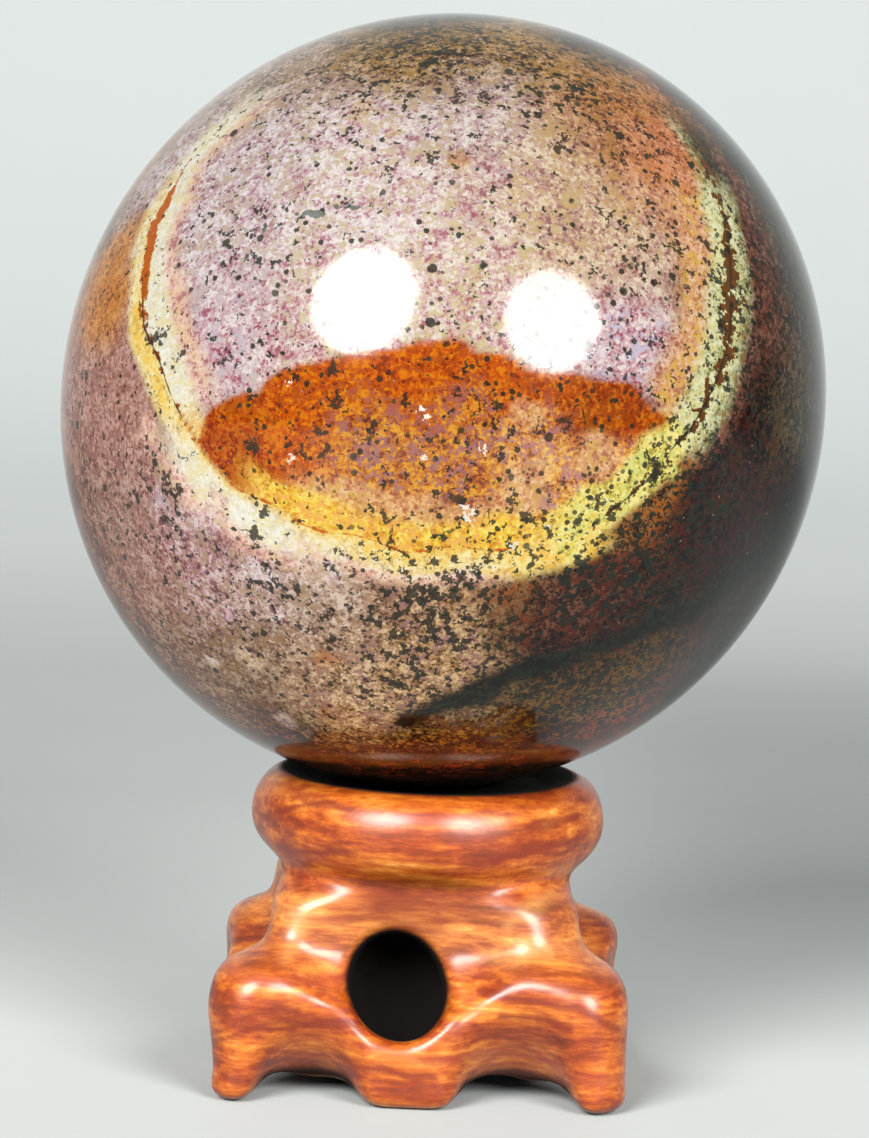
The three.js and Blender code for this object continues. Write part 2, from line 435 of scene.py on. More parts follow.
# Ground zones: tone, image point of the middle, reach in millimetres and strength
ZONES = [
    ("lilac", 230, 230, 9, 1), ("rose", 230, 330, 5, 1.4), ("blossom", 300, 320, 5, 1.2),
    ("lilac", 240, 140, 7, 1.1), ("cream", 370, 190, 9, 1.2), ("lilac", 480, 120, 6, 0.9),
    ("blossom", 455, 285, 6, 1.5), ("tan", 560, 200, 8, 1.3), ("rose", 640, 330, 4, 1.6),
    ("tan", 620, 250, 4, 0.8), ("coral", 675, 175, 4.5, 2), ("salmon", 635, 118, 6, 2.2),
    ("olive", 430, 50, 7, 2), ("olive", 540, 75, 6, 1.6), ("umber", 610, 95, 6, 1.4),
    ("fir", 430, 24, 5, 3), ("fir", 600, 58, 4, 2), ("ash", 280, 75, 6, 1.6), ("mauve", 105, 420, 8, 1.2),
    ("plum", 105, 520, 8, 1.2), ("mauve", 150, 570, 6, 0.8), ("copper", 104, 290, 3.6, 5),
    ("clay", 95, 225, 5, 1.6), ("grey", 210, 555, 7, 1.5), ("ash", 300, 600, 7, 1.7),
    ("clay", 200, 665, 8, 1.9), ("speckled", 430, 610, 6, 2.6), ("speckled", 400, 670, 6, 2),
    ("clay", 275, 700, 6, 1.6), ("speckled", 325, 690, 5, 1.2), ("ruddy", 585, 600, 4.5, 3),
    ("maroon", 540, 632, 3.6, 2.4), ("bark", 640, 540, 3.6, 3), ("bark", 520, 585, 3.4, 2),
    ("maroon", 600, 620, 5, 4), ("maroon", 670, 580, 6, 4), ("maroon", 745, 500, 7, 3),
    ("maroon", 755, 400, 5, 2), ("ruddy", 755, 320, 5, 2.6), ("ruddy", 740, 230, 5, 2.2),
    ("fir", 808, 400, 6, 4), ("slate", 800, 300, 6, 2.6), ("slate", 760, 190, 5, 2),
    ("slate", 690, 110, 5, 2), ("moss", 640, 690, 7, 3), ("moss", 530, 705, 5, 2.4),
    ("bark", 610, 735, 5, 3), ("slate", 740, 630, 6, 2.2), ("rust", 420, 755, 6, 4),
    ("rust", 300, 735, 5, 2), ("rust", 540, 755, 5, 3),
]
# The side that the camera doesn't see: tone, direction, reach in millimetres and strength
FAR_ZONES = [
    ("maroon", 0.95, 0.25, -0.1, 16, 0.5), ("moss", 0.7, 0.5, -0.5, 14, 0.5),
    ("slate", 0.8, 0.4, 0.45, 14, 0.5), ("ruddy", 0.7, 0.7, 0.1, 12, 0.4),
    ("clay", 0.4, 0.85, 0.3, 14, 0.5), ("mauve", -0.75, 0.65, 0.1, 16, 0.5),
    ("grey", 0, 1, 0.05, 13, 0.5), ("plum", -0.4, 0.8, -0.4, 15, 0.5),
    ("salmon", -0.5, 0.7, 0.5, 10, 0.5), ("olive", 0.1, 0.45, 0.9, 15, 0.5),
    ("rust", 0, 0.3, -1, 15, 0.8), ("speckled", 0.35, 0.85, -0.35, 11, 0.5),
    ("copper", -0.95, 0.1, 0.35, 8, 0.4),
]


def tone(name):
    return np.stack([linear(code) for code in TONES[name].split()])


def blend_tones(tones, layer, weight):
    """Lays one set of tones over another by a weight from 0 to 1."""
    return tones + (layer - tones) * weight[:, None, None]


def ground_tones(places, solid):
    """Soft zones that run into each other."""
    shares = [share * np.exp(-((gap_to(places, spot) / reach) ** 2)) for _, *spot, reach, share in ZONES]
    far = ease(40, 52, np.hypot(*places.T))
    for _, *way, reach, share in FAR_ZONES:
        gap = np.linalg.norm(solid - unit(way) * STONE_RADIUS, axis=1)
        shares.append(far * share * np.exp(-((gap / reach) ** 2)))
    weights = np.stack(shares, axis=1)
    names = [zone[0] for zone in ZONES + FAR_ZONES]
    tones = np.einsum("nz,zct->nct", weights, np.stack([tone(name) for name in names]))
    tones += 0.02 * tone("plum")
    return tones / (weights.sum(axis=1) + 0.02)[:, None, None]


# Bands along each side of the loop, by how far in from its line they are, in millimetres: where they
# start, their tones, and where bare ground begins again
BANDS = {
    "high_left": (
        -3.2, [(-1.7, "primrose"), (-0.4, "primrose"), (0.4, "milk"), (2.2, "milk"), (3.4, "blush")], 5.2,
    ),
    "left": (
        -2.6,
        [
            (-1.9, "primrose"), (-1.3, "butter"), (-0.3, "butter"), (0.3, "milk"), (2.4, "milk"),
            (3.4, "blush"), (4.6, "blush"),
        ],
        6.2,
    ),
    "low_left": (-6, [(-4.2, "blush"), (-2.8, "milk"), (-1, "milk"), (-0.1, "butter"), (1.6, "gold")], 3),
    "low": (
        -3.8, [(-2.8, "blush"), (-1.8, "primrose"), (-0.3, "butter"), (1.2, "gold"), (2.2, "gold")], 3.4,
    ),
    "low_right": (-3.4, [(-2.4, "butter"), (0.3, "butter"), (2.4, "gold")], 4),
    "right_tip": (
        -4.4, [(-3, "bark"), (-1.7, "bark"), (-1, "lemon"), (1.2, "lemon"), (2, "butter"), (3, "gold")], 4.4,
    ),
    "right": (
        -4.6,
        [(-3.2, "ruddy"), (-2.2, "sage"), (-1, "lime"), (2, "lime"), (3.4, "peach"), (5, "peach")],
        7.4,
    ),
    "high_right": (-4, [(-2, "fir"), (-0.5, "moss"), (1, "sage"), (2.6, "coral")], 5),
    "high": (-2.6, [(-0.6, "milk"), (1.2, "milk"), (2.4, "blush")], 4),
}
# Where each side of the loop starts and ends, by the loop's points. Between two sides the bands change over.
SIDES = [
    ("high_left", 0, 1.9), ("left", 2.5, 5), ("low_left", 6, 8), ("low", 9.5, 12), ("low_right", 13, 15),
    ("right_tip", 16, 18), ("right", 19, 26), ("high_right", 27, 27.6), ("top", 28.6, 34.6),
    ("high", 35.6, 37),
]


def along_loop(along, marks, values):
    """Values between marks on the loop, whose last point is followed by its first."""
    return np.interp(along, marks, values, period=len(LOOP))


def side_weight(along, *names):
    """How much some sides of the loop count at places along it."""
    marks = [mark for _, *ends in SIDES for mark in ends]
    return along_loop(along, marks, [float(side in names) for side, *ends in SIDES for _ in ends])


def band_tones(tones, depth, along):
    """Lays the bands over the ground. The top of the loop has none."""
    banded = tones
    for side, (start, stops, end) in BANDS.items():
        marks, names = zip(*stops)
        shown = np.interp(depth, [start, *marks, end], [0, *np.ones(len(marks)), 0])
        named = np.stack([tone(name) for name in names])
        layer = np.empty_like(tones)
        for grain, channel in np.ndindex(4, 3):
            layer[:, grain, channel] = np.interp(depth, marks, named[:, grain, channel])
        banded = banded + (layer - tones) * (shown * side_weight(along, side))[:, None, None]
    return banded


def stone_fields(directions):
    """Everything about the markings that the stone's shader needs, at each point of its surface."""
    solid = directions * STONE_RADIUS
    places = chart(directions) + ripples(solid, 7, 0.28, (3, 4))
    depth, along = signed_distance(places, smooth_line(seen(LOOP), closed=True))
    along = along * len(LOOP)
    drift = ripples(solid, 9, 1.2, (5, 6, 5))
    tones = ground_tones(places + drift[:, :2], solid + drift * 1.6)
    banded = band_tones(tones, depth, along)
    tones, lens = lens_tones(banded, places, solid, depth)
    tones = spot_tones(tones, places, solid)
    tones = streak_tones(tones, places, solid)
    vein, brown, core = vein_fields(along)
    clean = side_weight(along, "left", "low_left", "high_left")
    clean = clean * ease(-4.5, -2.5, depth) * ease(4.5, 2.5, depth)
    dots = dot_density(places, lens) * (1 - 0.4 * clean)
    specks = speck_density(places) * (1 - 0.9 * clean)
    tones = np.maximum(tones - studio_shine(directions)[:, None, None], tones * LEAST_KEPT)
    tones = tones / studio_light(directions)[:, None, None]
    clots = spot_distance(places, CLOTS)
    quartz = spot_distance(places, QUARTZ)
    green = np.minimum(line_distance(places, smooth_line(seen(GREEN_VEIN)))[0], 4)
    return tones, {
        "loop": depth, "vein": vein, "brown": brown, "core": core, "dots": dots, "specks": specks,
        "clots": clots, "quartz": quartz, "green": green,
    }


# Peach spots in the lens: image point of the middle and reach in millimetres
LENS_SPOTS = [(530, 482, 3), (310, 482, 2), (345, 492, 1.6), (600, 460, 2.6)]


def lens_tones(tones, places, solid, depth):
    """The orange lens: rust at its top and ends, purple and amber inside, gold along its lower edge."""
    outline = np.concatenate([smooth_line(seen(LENS_TOP)), smooth_line(seen(LENS_BOTTOM))[::-1]])
    lens, _ = signed_distance(places, outline)
    x, y = places.T
    # Tones laid over one another, each where its weight on the chart is high
    middle = ease(-13, -7, x) * ease(2, -4, y + ripple(solid, 6, 1.2, 7))
    layers = [
        ("purple", middle * ease(16, 9, x)),
        ("honey", middle * ease(2, 8, x) * 0.8),
        ("ember", ease(-13, -17, x) * 0.9),
        ("russet", ease(8, 13, x) * ease(-4.5, -2, y)),
        ("peach", ease(15, 17, x) * ease(-4, -5.5, y)),
    ]
    for *spot, reach in LENS_SPOTS:
        near = gap_to(places, spot) + ripple(solid, 4, 0.8, 11)
        layers.append(("peach", ease(reach, reach * 0.3, near) * 0.9))
    rim = depth + ripple(solid, 4, 0.5, 8)
    layers += [
        ("peach", ease(5.4, 3.8, rim) * ease(-15, -11, x) * ease(8, 4, x) * 0.6),
        ("gold", ease(3.5, 1.8, rim) * ease(-19, -15, x)),
        ("lemon", ease(3.6, 2.2, rim) * ease(6, 13, x)),
    ]
    inner = np.broadcast_to(tone("orange"), tones.shape)
    for name, weight in layers:
        inner = blend_tones(inner, tone(name), weight)
    return blend_tones(tones, inner, ease(-0.25, 0.25, lens)), lens


# Patches on the ground: tone, image point of the middle, half width in millimetres and strength
PATCHES = [
    ("lemon", 575, 540, 2.2, 0.9), ("peach", 533, 411, 1.7, 0.7), ("lemon", 672, 474, 1.3, 0.9),
    ("coral", 688, 190, 1.6, 0.8), ("coral", 660, 170, 1.4, 0.7), ("purple", 415, 480, 2.2, 0.8),
    ("purple", 360, 455, 1.6, 0.7), ("amber", 400, 130, 1.2, 0.6), ("amber", 460, 160, 1.2, 0.7),
    ("amber", 360, 108, 1.4, 0.5), ("rose", 500, 170, 1.8, 0.5), ("rose", 470, 215, 1.6, 0.6),
    ("rose", 620, 315, 1.8, 0.6), ("blush", 150, 432, 2.2, 0.8), ("blush", 224, 502, 1.6, 0.6),
    ("blush", 310, 546, 1.4, 0.5), ("rose", 226, 608, 1.2, 0.6), ("rose", 282, 617, 1, 0.5),
    ("rose", 160, 500, 1.6, 0.4), ("lilac", 206, 520, 2, 0.4), ("lilac", 262, 572, 2.2, 0.5),
    ("lilac", 335, 568, 1.6, 0.5), ("cream", 216, 660, 1, 0.5), ("cream", 286, 716, 1.2, 0.25),
    ("tan", 250, 655, 2, 0.5), ("copper", 330, 655, 1.8, 0.4),
]


def spot_tones(tones, places, solid):
    for name, *spot, reach, strength in PATCHES:
        near = gap_to(places, spot) + ripple(solid, 3, 0.5, 13)
        tones = blend_tones(tones, tone(name), strength * ease(reach, reach * 0.4, near))
    return tones


def streak_tones(tones, places, solid):
    """The near-black streak that crosses the lower right."""
    gap, along = line_distance(places, smooth_line(seen(DARK_STREAK)))
    width = np.interp(along, *zip(*STREAK_WIDTHS)) + ripple(solid, 4, 0.35, 9)
    return blend_tones(tones, tone("ink"), 0.95 * ease(0.8, -0.8, gap - width))


# Along the loop, by its points: half the vein's width, how brown it is, and half the thin dark line's width
VEIN_WIDTHS = [
    (0, 0.5), (1, 0.75), (2, 0.7), (2.6, 0.45), (3, 0.1), (6, -0.2), (7, 0.07), (12.5, 0.07), (15, -0.3),
    (19, 0), (19.6, 0.5), (20, 0.4), (21, 0.75), (22, 0.85), (23, 1), (24, 1), (25, 0.75), (26, 0.5),
    (27, 0.2), (28, -0.8), (36, -0.8), (37, 0),
]
VEIN_BROWNS = [(0, 0.1), (2, 0.1), (3, 0.4), (5.5, 0.5), (6.5, 0), (13, 0), (16, 1), (36, 1), (37, 0.1)]
CORE_WIDTHS = [
    (0, -0.3), (2, -0.1), (2.6, 0.06), (3, 0.1), (5, 0.08), (6, -0.1), (7, -0.3), (14, -0.3), (15.5, 0),
    (16, 0.06), (19, 0.1), (25, 0.1), (26, 0), (27, -0.3),
]


def vein_fields(along):
    return [along_loop(along, *zip(*stops)) for stops in (VEIN_WIDTHS, VEIN_BROWNS, CORE_WIDTHS)]


# How thick the dark specks lie: image point of a middle, reach in millimetres and share
SPECKLED = [
    (430, 610, 7, 1), (400, 680, 6, 0.7), (500, 640, 5, 0.8), (580, 590, 5, 0.8), (640, 560, 6, 0.8),
    (700, 500, 6, 0.7), (740, 300, 7, 0.7), (700, 420, 3, 0.6), (560, 700, 8, 0.7), (430, 50, 8, 0.8),
    (560, 90, 6, 0.8), (640, 140, 5, 0.6), (540, 545, 4, 0.62), (460, 530, 4, 0.55), (660, 470, 3, 0.7),
    (260, 600, 6, 0.5), (160, 500, 8, 0.36), (250, 240, 4, 0.36), (280, 360, 4, 0.3), (640, 220, 5, 0.42),
    (350, 100, 6, 0.42), (480, 400, 5, 0.3),
]


def speck_density(places):
    shares = [share * np.exp(-(gap_to(places, spot) / reach) ** 2) for *spot, reach, share in SPECKLED]
    return np.maximum(np.max(shares, axis=0), 0.5 * ease(46, 60, np.hypot(*places.T)))


def dot_density(places, lens):
    """The share of dot sites that are filled: more towards the lower right."""
    x, y = places.T
    density = 0.2 + 0.2 * ease(-6, -16, y) * ease(-24, -6, x) + 0.2 * ease(2, 22, x)
    density = density + 0.25 * ease(-2, -14, y) * ease(-6, 10, x) + 0.16 * ease(0, 1, lens)
    return np.clip(density, 0, 0.85)


# Dark clusters and quartz grains: image point and half width in millimetres
CLOTS = [
    (434, 160, 0.55), (387, 173, 0.4), (560, 150, 0.5), (566, 143, 0.4), (625, 292, 0.45),
    (653, 342, 0.4), (634, 235, 0.3), (154, 339, 0.7), (181, 356, 0.5), (334, 366, 0.4), (336, 402, 0.55),
    (319, 429, 0.45), (256, 442, 0.7), (302, 450, 0.4), (326, 452, 0.45), (371, 433, 0.5),
    (167, 488, 0.4), (167, 521, 0.55), (266, 514, 0.45), (257, 535, 0.6), (271, 573, 0.5),
    (432, 598, 0.6), (385, 515, 0.45), (530, 517, 0.5), (514, 504, 0.4), (600, 499, 0.5), (499, 551, 0.5),
    (565, 425, 0.35), (434, 440, 0.35), (460, 494, 0.55), (84, 376, 0.4), (226, 362, 0.3),
    (590, 350, 0.3), (456, 100, 0.45), (482, 98, 0.4), (660, 470, 0.4),
]
QUARTZ = [
    (421, 409, 0.25), (426, 412, 0.22), (429, 418, 0.25), (291, 457, 0.28), (422, 459, 0.2),
    (464, 506, 0.4), (466, 518, 0.45), (483, 453, 0.22), (517, 543, 0.3), (552, 524, 0.2),
    (286, 386, 0.1),
]


def spot_distance(places, spots):
    """Distance to the edge of the nearest of some round spots, negative inside."""
    gaps = [gap_to(places, spot) - reach for *spot, reach in spots]
    return np.clip(np.min(gaps, axis=0), -2, 4)


TONE_NAMES = ("tone_light", "tone_mid", "tone_dark", "tone_odd")


def stone_ground(g, place):
    """Fine grains of four tones, in patches where one or another of them is commoner."""
    grain_place = g.shifted(place, 0.6, 1.7, 2)
    fine = g.noise(grain_place, 1.5, 4, 0.75)
    patch = g.noise(place, 0.4, 4, 0.65, 0.4)
    _, sugar = g.cells(grain_place, 3.6)
    blend = g.times(fine, 1.25)
    blend = g.scaled(patch, 0.8, blend)
    blend = g.scaled(sugar[0], 0.3, blend)
    grain = g.step(0.87, 1.45, blend)
    light, middle, dark, strange = (g.attribute(name, "Color") for name in TONE_NAMES)
    shade = g.mix(g.step(0.05, 0.45, grain), dark, middle)
    shade = g.mix(g.step(0.5, 0.95, grain), shade, light)
    odd = g.scaled(g.noise(place, 0.45, 3, 0.7), 0.7, g.times(sugar[1], 0.2))
    odd = g.scaled(g.noise(grain_place, 1.3, 3, 0.7), 0.7, odd)
    return g.mix(g.times(g.step(0.8, 0.9, odd), 0.85), shade, strange), fine


def stone_vein(g, place, shade, fine):
    """The vein along the loop, with a thin dark line in its brown part."""
    lumpy = g.scaled(g.attribute("brown"), 6.5, 1)
    edge = g.times(g.minus(g.noise(place, 1.1, 3, 0.6), 0.5), lumpy)
    line = g.math("ABSOLUTE", g.attribute("loop"))
    vein = g.minus(g.attribute("vein"), g.plus(line, edge))
    brown = g.mix(g.attribute("brown"), colour("8a4206"), colour("46280a"))
    brown = g.stain(brown, fine, 0.627, "000000")
    shade = g.mix(g.step(-0.08, 0.12, vein), shade, brown)
    wavering = g.scaled(g.noise(place, 0.6, 2), 0.3, g.attribute("core"))
    core = g.minus(wavering, g.plus(line, g.times(edge, 0.06)))
    return g.stain(shade, g.step(0.1, 0.2, core), 0.85, "1c150c")


def stone_dots(g, place, shade):
    """Dark mineral dots of two sizes, in loose swarms."""
    swarm = g.step(0.43, 0.57, g.noise(place, 0.22, 3, 0.6))
    swarm = g.scaled(swarm, 1.2, 0.45)
    for size, least, spread, share in ((1.45, 0.22, 0.2, 0.85), (0.68, 0.15, 0.18, 0.4)):
        site = g.shifted(place, 0.22, 2.4)
        far, (lot, width, tint) = g.cells(site, size)
        chance = g.times(g.times(g.attribute("dots"), swarm), share)
        filled = g.math("LESS_THAN", lot, chance)
        reach = g.scaled(g.math("POWER", width, 2), spread, least)
        dot = g.times(g.step(0.05, -0.04, g.minus(far, reach)), filled)
        dot = g.times(dot, g.scaled(width, 0.35, 0.6))
        ink = g.mix(tint, colour("160e07"), colour("101a13"))
        shade = g.mix(dot, shade, ink)
    return shade


def stone_specks(g, place, shade):
    """Ragged green-black specks where they lie thick, tiny pale ones among them, and the thin green vein."""
    field = g.noise(g.shifted(place, 0.5, 2.2), 1.05, 3, 0.66)
    limit = g.scaled(g.attribute("specks"), -0.14, 0.63)
    dark = g.step(0, 0.014, g.minus(field, limit))
    shade = g.stain(shade, dark, 0.9, "0c110b")
    far, lot = g.cells(place, 1.7)
    rare = g.step(0.955, 0.96, lot[1])
    shade = g.stain(shade, g.times(g.step(0.2, 0.12, far), rare), 0.8, "5c5048")
    width = g.scaled(g.noise(place, 0.9, 3), 2.6, -1.22)
    green = g.step(0.12, 0, g.minus(g.attribute("green"), width))
    return g.stain(shade, green, 0.75, "1a2a22")


def stone_spots(g, place, shade):
    """The larger dark clusters and white quartz grains, each at its own place."""
    ragged = g.times(g.minus(g.noise(place, 1.6, 3, 0.65), 0.5), 5)
    clot = g.plus(g.attribute("clots"), ragged)
    shade = g.stain(shade, g.step(0.06, -0.06, clot), 0.9, "1a150e")
    rough_edge = g.times(g.minus(g.noise(place, 2.6, 2, 0.65), 0.5), 2.6)
    grain = g.plus(g.attribute("quartz"), rough_edge)
    return g.stain(shade, g.step(0.06, -0.06, grain), 0.85, "928c82")


def stone_material():
    g = Graph("jasper")
    place = g.place()
    shade, fine = stone_ground(g, place)
    shade = stone_vein(g, place, shade, fine)
    shade = stone_specks(g, place, shade)
    shade = stone_dots(g, place, shade)
    shade = stone_spots(g, place, shade)
    pits = g.node("Bump", {"Height": g.noise(place, 2, 4, 0.6), "Strength": 0.03, "Distance": 0.0002})
    rough = g.scaled(g.noise(place, 0.15, 2), 0.03, 0.075)
    return g.finish(
        Base_Color=shade, Roughness=rough, Normal=pits.outputs[0], IOR=1.5, Specular_IOR_Level=STONE_GLOSS,
    )


STONE_GRID = 124
# The stone is a little longer one way than another
OUT_OF_ROUND = 0.016
LONG_WAY = RIGHT * 0.566 + UP * 0.824
SHORT_WAY = RIGHT * 0.824 - UP * 0.566


def ball_grid(count):
    """Unit vectors and quads of a cube blown up into a ball, with even cells."""
    steps = np.arange(count + 1)
    u, v = (axis.ravel() for axis in np.meshgrid(steps, steps, indexing="ij"))
    sheets = []
    for axis in range(3):
        for end in (0, count):
            sheet = np.stack([np.full(len(u), end), u if end else v, v if end else u], axis=1)
            sheets.append(np.roll(sheet, axis, axis=1))
    lattice, ids = np.unique(np.concatenate(sheets), axis=0, return_inverse=True)
    ids = ids.reshape(6, count + 1, count + 1)
    corners = [ids[:, :-1, :-1], ids[:, 1:, :-1], ids[:, 1:, 1:], ids[:, :-1, 1:]]
    quads = np.stack(corners, axis=-1).reshape(-1, 4)
    return unit(np.tan(math.pi / 4 * (2 * lattice / count - 1))), quads


def make_stone():
    directions, quads = ball_grid(STONE_GRID)
    stretch = 1 + OUT_OF_ROUND * ((directions @ LONG_WAY) ** 2 - (directions @ SHORT_WAY) ** 2)
    points = STONE_CENTRE + directions * (STONE_RADIUS * stretch)[:, None]
    piece = make_mesh("jasper_sphere", points, quads, stone_material())
    tones, fields = stone_fields(directions)
    for i, name in enumerate(TONE_NAMES):
        paint(piece.data, name, tones[:, i])
    for name, values in fields.items():
        paint(piece.data, name, values)
    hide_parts("sphere")
    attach(piece, "root")


# The stand, with the solid's own dimensions

GROOVE_HEIGHT = 19.5
BEAD_MIDDLE_HEIGHT = 23.5
BEAD_RADIUS = 16.35
BEAD_CREST_RADIUS = 13.3
BEAD_CREST_HEIGHT = 27.8
BEAD_DROP = 4.25
SEAT_RADIUS = 6
SEAT_HEIGHT = 27.1
SEAT_DEPTH = 3
SEAT_SLOPE_END = 10.4
BLOCK_HALF_WIDTH = 19.1
BLOCK_CORNER_RADIUS = 4.6
SHOULDER_HEIGHT = 11
COLLAR_HEIGHT = 17.6
COLLAR_RADIUS = 14.7
HOLE_DROP = math.radians(12)
HOLE_HALF_WIDTH = 4.3
HOLE_HALF_HEIGHT = 5
HOLE_LEVEL = 10.8
HOLE_FACE = 16.5
HOLE_INNER_END = 5.5
SCOOP_HALF_SIZES = (9, 3.8, 5.2)
SCOOP_LEVEL = 14
SCOOP_FACE = 16.4
FLUTE_TILT = math.radians(50)
UNDERCUT_HALF_SIZES = (14.2, 14.2, 3.4)
# The turn of each face, its hole's place across it and lean, and its flutes' places, radii and tops
FACES = [
    (0, (-2.1, 20), [(-9.9, 4.3, 8.9), (8.8, 4.7, 10.2)]),
    (90, (0.7, -8), [(-9.6, 4.4, 9.3), (9.4, 4.3, 9)]),
    (180, (-0.8, 6), [(-9.2, 4.5, 9.5), (9.5, 4.2, 8.8)]),
    (270, (1, -12), [(-9.4, 4.2, 8.9), (9.8, 4.4, 9.4)]),
]
# Steps of the grid for the stand's surface and of the table for its bead
CELL = 0.33
TABLE_STEP = 0.15
WEAR_ROUNDS = 10
# How far below the stand's foot and in front of its middle the wood's pith lies
PITH_DEPTH = 38
PITH_SIDE = 12
# Wood colours from the darkest streak to the palest
WOOD_SHADES = [(0, "4e1a08"), (0.3, "702a0a"), (0.55, "8a420e"), (0.8, "a05c1e"), (1, "b68040")]
# Dark growth lines across the front, as image points
GROWTH_LINES = [
    [(206, 1046), (230, 1034), (256, 1027), (284, 1023), (318, 1024), (356, 1021)],
    [(214, 1032), (236, 1020), (262, 1012), (300, 1012)],
    [(478, 990), (510, 997), (548, 1004), (588, 1014), (630, 1031)],
    [(502, 1016), (536, 1020), (572, 1030)],
    [(352, 1066), (380, 1071), (408, 1077), (434, 1078)],
    [(270, 846), (310, 852), (352, 851)],
    [(492, 860), (530, 853), (566, 842)],
    [(280, 812), (316, 806), (350, 808)],
    [(536, 826), (566, 820), (592, 808)],
    [(450, 838), (500, 834), (556, 826)],
]
# Pale streaks on the shoulders, partly painted highlights, and the painted shade in the hollow over the
# hole, as image points too
PALE_AND_HIGHLIGHT_STREAKS = [
    [(312, 898), (299, 925), (285, 953)],
    [(549, 897), (526, 910), (506, 922)],
    [(498, 957), (520, 955), (544, 948)],
]
SHADED_HOLLOW_MIDDLE = (404, 913)
SHADED_HOLLOW_HALF_SIZES = (62, 22)


def smooth_min(a, b, blend):
    h = np.clip(0.5 + 0.5 * (b - a) / blend, 0, 1)
    return b + (a - b) * h - blend * h * (1 - h)


def smooth_max(a, b, blend):
    return -smooth_min(-a, -b, blend)


def ellipsoid(x, y, z, a, b, c):
    """Near distance to an ellipsoid about the origin, negative inside."""
    near = np.sqrt((x / a) ** 2 + (y / b) ** 2 + (z / c) ** 2)
    steep = np.sqrt((x / a**2) ** 2 + (y / b**2) ** 2 + (z / c**2) ** 2)
    return near * (near - 1) / np.maximum(steep, 1e-6)


def block_distance(x, y, z):
    """The square block, which draws in to a round collar and groove."""
    width, corner, collar = BLOCK_HALF_WIDTH, BLOCK_CORNER_RADIUS, COLLAR_RADIUS
    rows = [
        (0, width, corner),
        (SHOULDER_HEIGHT - 2, width, corner),
        (SHOULDER_HEIGHT, width - 0.4, corner),
        (SHOULDER_HEIGHT + 1.3, width - 1.3, corner + 0.3),
        (SHOULDER_HEIGHT + 2, width - 2.7, corner + 1),
        (SHOULDER_HEIGHT + 3, width - 3.9, corner + 1.6),
        (COLLAR_HEIGHT - 1.6, collar + 0.1, corner + 2),
        (COLLAR_HEIGHT, collar, corner + 2.8),
        (COLLAR_HEIGHT + 1, collar - 0.4, corner + 4.8),
        (GROOVE_HEIGHT, collar - 0.8, collar - 0.8),
        (GROOVE_HEIGHT + 4, collar - 0.8, collar - 0.8),
    ]
    heights, widths, corners = np.array(rows).T
    fine = np.arange(-2, 30, 0.1)
    kernel = np.hanning(15) / np.hanning(15).sum()
    lines = [np.interp(fine, heights, sizes) for sizes in (widths, corners)]
    width_line, corner_line = (np.convolve(line, kernel, "same") for line in lines)
    slope = np.gradient(width_line, fine)
    half = np.interp(z, fine, width_line)
    round_off = np.interp(z, fine, corner_line)
    across = np.abs(x) - (half - round_off)
    along = np.abs(y) - (half - round_off)
    beyond = np.hypot(np.maximum(across, 0), np.maximum(along, 0))
    flat = beyond + np.minimum(np.maximum(across, along), 0) - round_off
    side = flat / np.sqrt(1 + np.interp(z, fine, slope) ** 2)
    return np.maximum(side, z - GROOVE_HEIGHT - 1)


def bead_outline():
    start = -math.asin((BEAD_MIDDLE_HEIGHT - GROOVE_HEIGHT) / BEAD_DROP)
    angles = np.linspace(start, math.pi / 2, 24)
    rise = np.where(angles > 0, BEAD_CREST_HEIGHT - BEAD_MIDDLE_HEIGHT, BEAD_DROP)
    radii = BEAD_CREST_RADIUS + (BEAD_RADIUS - BEAD_CREST_RADIUS) * np.cos(angles)
    swell = np.stack([radii, BEAD_MIDDLE_HEIGHT + rise * np.sin(angles)], axis=1)
    radii = np.array([12.6, 12, 11.2, SEAT_SLOPE_END])
    fall = np.sin((radii - SEAT_SLOPE_END) / (BEAD_CREST_RADIUS - SEAT_SLOPE_END) * math.pi / 2)
    low = SEAT_HEIGHT - 0.25
    hollow = np.stack([radii, low + (BEAD_CREST_HEIGHT - low) * fall], axis=1)
    floor = SEAT_HEIGHT - SEAT_DEPTH
    inner = [
        (SEAT_RADIUS, SEAT_HEIGHT - 0.05), (SEAT_RADIUS, floor + 1), (SEAT_RADIUS - 1, floor),
        (-3, floor), (-3, GROOVE_HEIGHT),
    ]
    return np.concatenate([swell, hollow, inner])


def bead_distance(x, y, z):
    """The turned bead, from its outline in radius and height."""
    radii = np.arange(0, 31, TABLE_STEP)
    heights = np.arange(GROOVE_HEIGHT - 4, SEAT_HEIGHT + 4, TABLE_STEP)
    grid_r, grid_z = np.meshgrid(radii, heights, indexing="ij")
    places = np.stack([grid_r.ravel(), grid_z.ravel()], axis=1)
    table = -signed_distance(places, bead_outline())[0].reshape(grid_r.shape)
    i = np.clip(np.hypot(x, y) / TABLE_STEP, 0, len(radii) - 2)
    j = np.clip((z - heights[0]) / TABLE_STEP, 0, len(heights) - 2)
    i0, j0 = i.astype(int), j.astype(int)
    fi, fj = i - i0, j - j0
    low = table[i0, j0] * (1 - fi) + table[i0 + 1, j0] * fi
    high = table[i0, j0 + 1] * (1 - fi) + table[i0 + 1, j0 + 1] * fi
    outside = np.maximum(heights[0] - z, 0)
    return low * (1 - fj) + high * fj + outside


def face_places(x, y, turn):
    """Places across one face and in from it, with its front towards -Y."""
    turn = math.radians(turn)
    return x * math.cos(turn) + y * math.sin(turn), y * math.cos(turn) - x * math.sin(turn)


